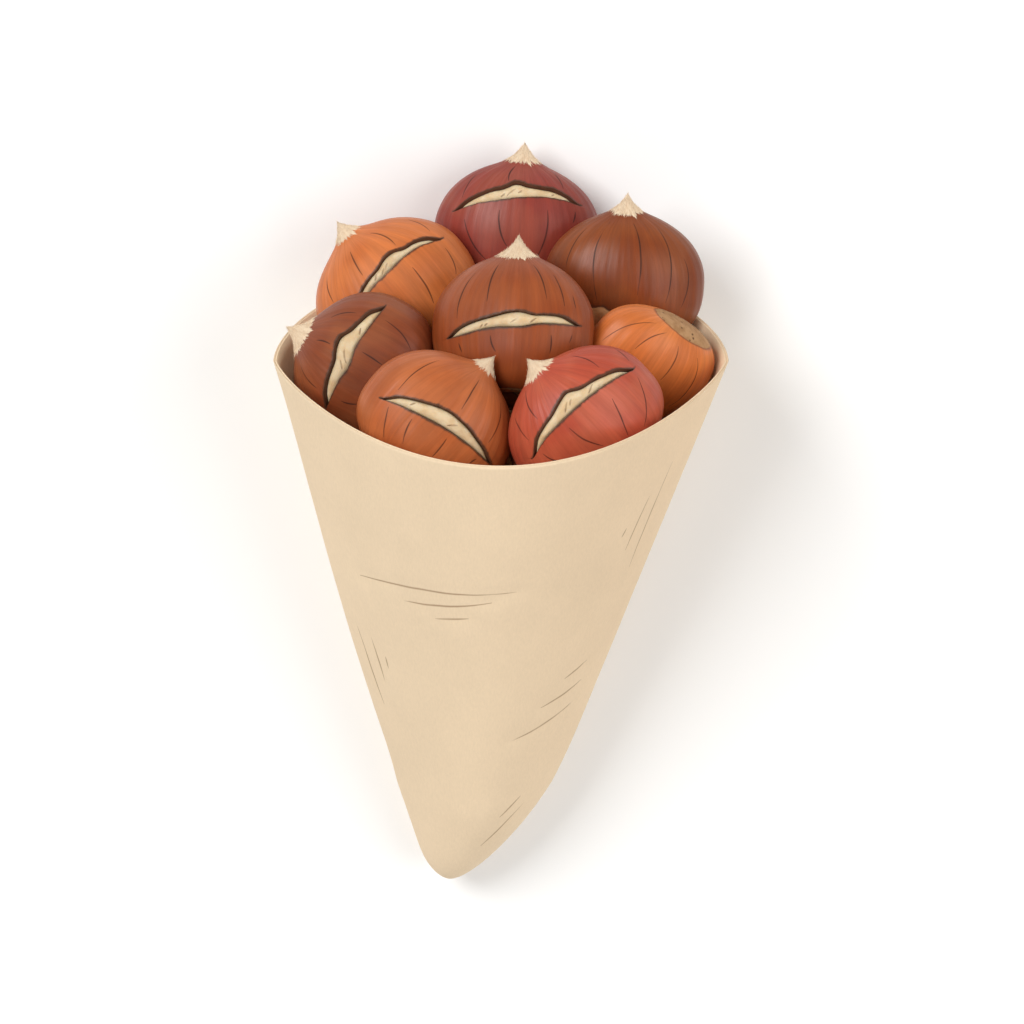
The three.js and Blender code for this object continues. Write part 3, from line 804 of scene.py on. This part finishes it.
angles = np.arange(SHELL_COLUMNS) * 2 * math.pi / SHELL_COLUMNS
angles = angles + CROWDED_ENDS * np.cos(angles)
outer_shares = [2 - row / BACK_ROWS for row in range(1, BACK_ROWS + 1)]
outer_shares += [(1 - row / FACE_ROWS) ** CROWDED_LIPS for row in range(1, FACE_ROWS + 1)]
for name, nut in SLIT_CHESTNUTS.items():
    lips = chestnut_point(nut, disc_direction(shell_disc(nut, angles, 0, RAGGED)))
    curl = np.where(np.sin(angles) > 0, UPPER_CURL, LOWER_CURL) * np.abs(np.sin(angles)) ** 0.8
    stations = [(share, 0) for share in outer_shares] + [(0, inset) for inset in LIP_INSETS]
    stations += [(share, SHELL) for share in LINING_SHARES]
    rings = [chestnut_point(nut, BACK)]
    directions = [BACK]
    lip_ways = [np.full(1, FAR_FROM_LIP)]
    for share, inset in stations:
        direction = disc_direction(shell_disc(nut, angles, share, RAGGED))
        bare = chestnut_point(nut, direction, float(inset < SHELL), inset)
        away = np.linalg.norm(bare - lips, axis=-1) if share < 1 else np.full(SHELL_COLUMNS, FAR_FROM_LIP)
        lift = curl * np.exp(-((away / CURL_REACH) ** CURL_FADE))
        point = lumpy(nut, bare) if inset < SHELL else bare
        rings.append(point + outward(nut, bare) * lift[:, None])
        directions.append(direction)
        lip_ways.append(away if inset == 0 else np.zeros(len(away)))
    rings.append(chestnut_point(nut, BACK, 0, SHELL))
    directions.append(BACK)
    lip_ways.append(np.zeros(1))
    shell = skinned("roasted_shell_" + name, [placed(nut, ring) for ring in rings], [shell_finish(name, nut)])
    marked(shell, nut, np.concatenate(directions), np.concatenate(lip_ways))
    settled(shell, "shell_" + name)


# ---- The kernels of the slit chestnuts ----------------------------------------------------------------------
# The sweet flesh of each slit chestnut, roasted cream and firm. It has swollen into the slit, where it shows
# between the lips, finely wrinkled and a little darker where it meets the shell.

KERNEL_CREAM = (0.65, 0.465, 0.26, 1)
KERNEL_PALE = (0.71, 0.56, 0.355, 1)
KERNEL_EDGE = (0.42, 0.22, 0.09, 1)
# The wrinkles of the flesh are darkened in colour: painted shade in the folds, besides their relief.
KERNEL_WRINKLE_PAINTED_SHADE = (0.24, 0.135, 0.065, 1)
KERNEL_INSET = SHELL + 0.0008  # the flesh has shrunk away from the shell
KERNEL_ROWS = 30
HIDDEN_ROWS = 8
SWELL = 0.00195
SWELL_ROUNDNESS = 0.33
WRINKLE = 0.00016
FOLDS_PER_METRE = (260, 620, 260)
FINE_FOLDS_PER_METRE = 1100
WRINKLE_WIDTH = 0.0004
FLESH_RELIEF = 0.0002

kernel_shares = [2 - row / HIDDEN_ROWS for row in range(1, 2 * HIDDEN_ROWS)] + [0.06, 0.02, 0]
flesh_shares = [1 - row / KERNEL_ROWS for row in range(1, KERNEL_ROWS)]


def flesh_point(nut, direction, share):
    """The flesh in the slit, which swells towards the middle of it and is finely wrinkled."""
    swell = SWELL * (1 - share**2) ** SWELL_ROUNDNESS
    point = chestnut_point(nut, direction, 0, KERNEL_INSET - swell)
    fold = np.array([noise.noise(Vector(p * FOLDS_PER_METRE)) + noise.noise(Vector(p) * FINE_FOLDS_PER_METRE) / 2
                     for p in point])
    return point + outward(nut, point) * (WRINKLE * fold * min(1, 4 * (1 - share)))[:, None]


for name, nut in SLIT_CHESTNUTS.items():
    flesh, tree, surface, place = finish_of("flesh of chestnut " + name)
    lines = []
    for wrinkle in nut["wrinkles"]:
        ways = disc_direction(slit_disc(nut, np.array(wrinkle[::2]), np.array(wrinkle[1::2])))
        lines.append(placed(nut, flesh_point(nut, ways, 0.5)))
    crease = lines_over(tree, wavered(tree, place, place, scale=300, amount=0.0002), lines, WRINKLE_WIDTH)
    mottle = noise_of(tree, place, scale=420, detail=3)
    crumb = noise_of(tree, place, scale=2600)
    colour = blended(tree, ramp(tree, mottle, *MIDDLE_OF_NOISE), KERNEL_CREAM, KERNEL_PALE)
    # Painted shade: the flesh is darkened along its wrinkles.
    colour = blended(tree, times(tree, crease, 0.85), colour, KERNEL_WRINKLE_PAINTED_SHADE)
    edge = ramp(tree, times(tree, mottle, 0.4, read(tree, "lip")), 0.65, 0.15, 0, 0.8)
    colour = blended(tree, edge, colour, KERNEL_EDGE)
    height = times(tree, crumb, 0.5, times(tree, mottle, 0.7))
    height = math_of(tree, "SUBTRACT", height, crease)
    feed(tree, surface, {
        "Base Color": colour, "Roughness": 0.62, "Specular IOR Level": 0.35, "Subsurface Weight": 0.15,
        "Subsurface Radius": (1, 0.6, 0.3), "Subsurface Scale": 0.0012,
        "Normal": bumped(tree, height, strength=0.6, distance=FLESH_RELIEF),
    })

    directions = [BACK] + [disc_direction(shell_disc(nut, angles, share)) for share in kernel_shares]
    rings = [chestnut_point(nut, direction, 0, KERNEL_INSET) for direction in directions]
    lip_ways = [np.zeros(len(ring)) for ring in rings]
    edge_ring = rings[-1]
    for share in flesh_shares:
        direction = disc_direction(lip_disc(nut, angles, share))
        directions.append(direction)
        rings.append(flesh_point(nut, direction, share))
        lip_ways.append(np.linalg.norm(rings[-1] - edge_ring, axis=-1))
    middle = disc_direction(lip_disc(nut, np.zeros(1), 0))
    rings.append(flesh_point(nut, middle, 0))
    directions.append(middle)
    lip_ways.append(np.full(1, 0.002))
    kernel = skinned("roasted_kernel_" + name, [placed(nut, ring) for ring in rings], [flesh])
    marked(kernel, nut, np.concatenate(directions), np.concatenate(lip_ways))
    settled(kernel, "kernel_" + name)


# ---- The whole chestnuts ------------------------------------------------------------------------------------
# Two of the chestnuts on the heap are uncut. One stands on its base and the other lies with its base, and the
# tan scar on it, up to the right. Under the heap lie seven more, of the common brown.

WHOLE_CHESTNUTS = {
    "back_right": {
        "width": 37.8, "thick": 0.95, "at": (29, 19.2, -14.5), "turn": -2, "nod": 14, "yaw": 1,
        "down": (5.8, 0.2), "scar": (36, 39, 112), "scar_painted_light": 1.9, "slot": "shell_brown",
        "colour": (0.2, 0.041, 0.009), "warm": (0.242, 0.061, 0.016),
        "streaks": [(146, 41, 143, 60, 140, 77), (119, 29, 116, 70, 110, 99), (79, 29, 78, 65, 81, 93),
                    (44, 36, 52, 69, 59, 99), (36, 67, 37, 86, 44, 104)],
    },
    "right": {
        "width": 33.1, "thick": 0.89, "at": (34, -0.3, -1.5), "turn": 155, "nod": 30, "yaw": 19,
        "down": (6, 0), "scar": (35, 12, 150), "slot": "shell_orange",
        "colour": (0.59, 0.158, 0.036), "warm": (0.65, 0.195, 0.052),
        "streaks": [(23, 94, 32, 114, 54, 137), (57, 105, 61, 118, 73, 133), (92, 125, 95, 108, 93, 92),
                    (119, 121, 125, 99, 120, 72)],
    },
}
CARRIERS = {  # width, at, turn, nod, yaw
    "under_left": (36, (-20, -22, -10), 299, 135, -32),
    "under_middle": (35, (8, -30, 0.5), 250, -25, 33),
    "under_back": (36, (4.4, -0.4, -19), 4, -63, 12),
    "under_right": (35, (23.8, -18.2, -24), -11, -39, -30),
    "deep_left": (34, (-10.6, -47.4, -1.2), 193, 58, -60),
    "deep_back": (33, (-5.3, -32.2, -22.2), 23, -31, -41),
    "deep_right": (33, (16, -44.1, -17.8), 20, 129, -59),
}
CARRIER_STREAKS = [(20, 40, 23, 68, 25, 95), (75, 35, 76, 62, 78, 90), (120, 45, 118, 72, 115, 100),
                   (170, 40, 167, 63, 165, 85), (230, 35, 229, 65, 228, 95), (290, 40, 292, 68, 295, 90)]
for name, (width, at, turn, nod, yaw) in CARRIERS.items():
    WHOLE_CHESTNUTS[name] = {
        "width": width, "thick": 1, "at": at, "turn": turn, "nod": nod, "yaw": yaw, "down": (6, 0),
        "scar": (36, 20, 45), "slot": "shell_brown", "colour": (0.25, 0.062, 0.022), "warm": (0.3, 0.088, 0.032),
        "streaks": CARRIER_STREAKS,
    }

CARRIER_GRID = (120, 70)
SHOWN_GRID = (256, 150)
CROWDED_POINT = 1.25

for name, nut in WHOLE_CHESTNUTS.items():
    columns, rows = CARRIER_GRID if name in CARRIERS else SHOWN_GRID
    directions = []
    for row in range(rows + 1):
        longitude = -np.arange(columns if 0 < row < rows else 1) * 360 / columns
        directions.append(way_of(longitude, np.full(len(longitude), 180 * (1 - row / rows) ** CROWDED_POINT)))
    rings = [placed(nut, lumpy(nut, chestnut_point(nut, direction))) for direction in directions]
    shell = skinned("roasted_chestnut_" + name, rings, [shell_finish(name, nut)])
    every = np.concatenate(directions)
    marked(shell, nut, every, np.full(len(every), FAR_FROM_LIP))
    settled(shell, "chestnut_" + name)


# ---- The silky down on the points ---------------------------------------------------------------------------
# The point of a chestnut is what is left of its flower, and keeps a tuft of fine pale hairs. They lie along it,
# towards its tip, and roasting has dried and parted them.

HAIR_LENGTH = 0.0013
HAIR_RADIUS = 0.00004
HAIRS_PER_AREA = 9.0e6
HAIR_LIFT = 0.28
HAIR_STRAY = 0.22
HAIR_SIDES = 4
HAIR_SIZES = (0.55, 1.15)
HAIR_FADE = 1.2
FIRST_SEED = 11
PATCH_COLUMNS = 72
PATCH_ROWS = 26
PATCH_REACH = 34


# Scatters slim hairs over a patch, each along the way that the patch is combed.
scatter, into, out = group_of(
    "silky down",
    [("Patch", "Geometry"), ("Hairs per Area", "Float"), ("Length", "Float"), ("Radius", "Float"),
     ("Stray", "Float"), ("Seed", "Int"), ("Finish", "Material")],
    [("Hairs", "Geometry")], "GeometryNodeTree",
)
tree = scatter
thick = node_of(tree, "GeometryNodeInputNamedAttribute", {"Name": "thick"}, data_type="FLOAT")
comb = node_of(tree, "GeometryNodeInputNamedAttribute", {"Name": "comb"}, data_type="FLOAT_VECTOR")
density = times(tree, thick.outputs["Attribute"], into["Hairs per Area"])
roots = node_of(tree, "GeometryNodeDistributePointsOnFaces",
                {"Mesh": into["Patch"], "Density": density, "Seed": into["Seed"]}, distribute_method="RANDOM")
random = node_of(tree, "FunctionNodeRandomValue", {"Seed": into["Seed"], "Min": (-1, -1, -1), "Max": (1, 1, 1)},
                 data_type="FLOAT_VECTOR")
stray = scaled(tree, random.outputs["Value"], into["Stray"])
way = vector_of(tree, "ADD", comb.outputs["Attribute"], stray)
turn = node_of(tree, "FunctionNodeAlignRotationToVector", {"Vector": way}, axis="Z").outputs["Rotation"]
size = node_of(tree, "FunctionNodeRandomValue", {"Seed": into["Seed"], 2: HAIR_SIZES[0], 3: HAIR_SIZES[1]},
               data_type="FLOAT").outputs[1]
shape = {"Vertices": HAIR_SIDES, "Side Segments": 1, "Radius Top": 0, "Radius Bottom": into["Radius"],
         "Depth": into["Length"]}
hair = node_of(tree, "GeometryNodeMeshCone", shape, fill_type="NGON").outputs["Mesh"]
grown = node_of(tree, "GeometryNodeInstanceOnPoints",
                {"Points": roots.outputs["Points"], "Instance": hair, "Rotation": turn, "Scale": size})
real = node_of(tree, "GeometryNodeRealizeInstances", {"Geometry": grown.outputs["Instances"]})
dressed = node_of(tree, "GeometryNodeSetMaterial",
                  {"Geometry": real.outputs["Geometry"], "Material": into["Finish"]})
feed(tree, out, {"Hairs": dressed.outputs["Geometry"]})
sockets = {item.name: item.identifier for item in tree.interface.items_tree}

silk, tree, surface, place = finish_of("silky hairs")
shine = noise_of(tree, place, scale=1400)
pale = blended(tree, ramp(tree, shine, *MOST_OF_NOISE), DOWN_FAWN, DOWN_CREAM)
glint = ramp(tree, shine, *MOST_OF_NOISE, 0.6, 0.42)
feed(tree, surface, {"Base Color": pale, "Roughness": glint, "Specular IOR Level": 0.35})

for seed, (name, nut) in enumerate({**SLIT_CHESTNUTS, **WHOLE_CHESTNUTS}.items()):
    if name in CARRIERS:
        continue
    polar = np.repeat(np.linspace(1, PATCH_REACH, PATCH_ROWS), PATCH_COLUMNS)
    longitude = np.tile(np.arange(PATCH_COLUMNS) * 360 / PATCH_COLUMNS, PATCH_ROWS)
    direction = way_of(longitude, polar)
    bare = chestnut_point(nut, direction)
    reach, dip = nut["down"]
    faced = np.maximum(np.sin(np.radians(longitude)), 0)
    thick = np.clip((reach - dip * faced**2 - from_tip(nut, bare)) / HAIR_FADE + 0.6, 0, 1)
    nearer = chestnut_point(nut, way_of(longitude, polar - 0.5))
    comb = (nearer - bare) / np.linalg.norm(nearer - bare, axis=-1)[:, None] + HAIR_LIFT * outward(nut, bare)
    comb = placed(nut, bare + comb * 0.001) - placed(nut, bare)
    down = skinned("silky_down_" + name, np.split(placed(nut, lumpy(nut, bare)), PATCH_ROWS), [])
    down.data.shade_flat()
    noted(down, "thick", thick)
    noted(down, "comb", comb / np.linalg.norm(comb, axis=-1)[:, None])
    tuft = down.modifiers.new("silky down", "NODES")
    tuft.node_group = scatter
    amounts = {"Hairs per Area": HAIRS_PER_AREA, "Length": HAIR_LENGTH, "Radius": HAIR_RADIUS, "Stray": HAIR_STRAY,
               "Seed": FIRST_SEED + seed, "Finish": silk}
    for label, value in amounts.items():
        tuft[sockets[label]] = value
    evaluated = down.evaluated_get(bpy.context.evaluated_depsgraph_get())
    hairs = bpy.data.meshes.new_from_object(evaluated)
    down.modifiers.clear()
    down.data = hairs
    settled(down, ("chestnut_" if name in WHOLE_CHESTNUTS else "shell_") + name)
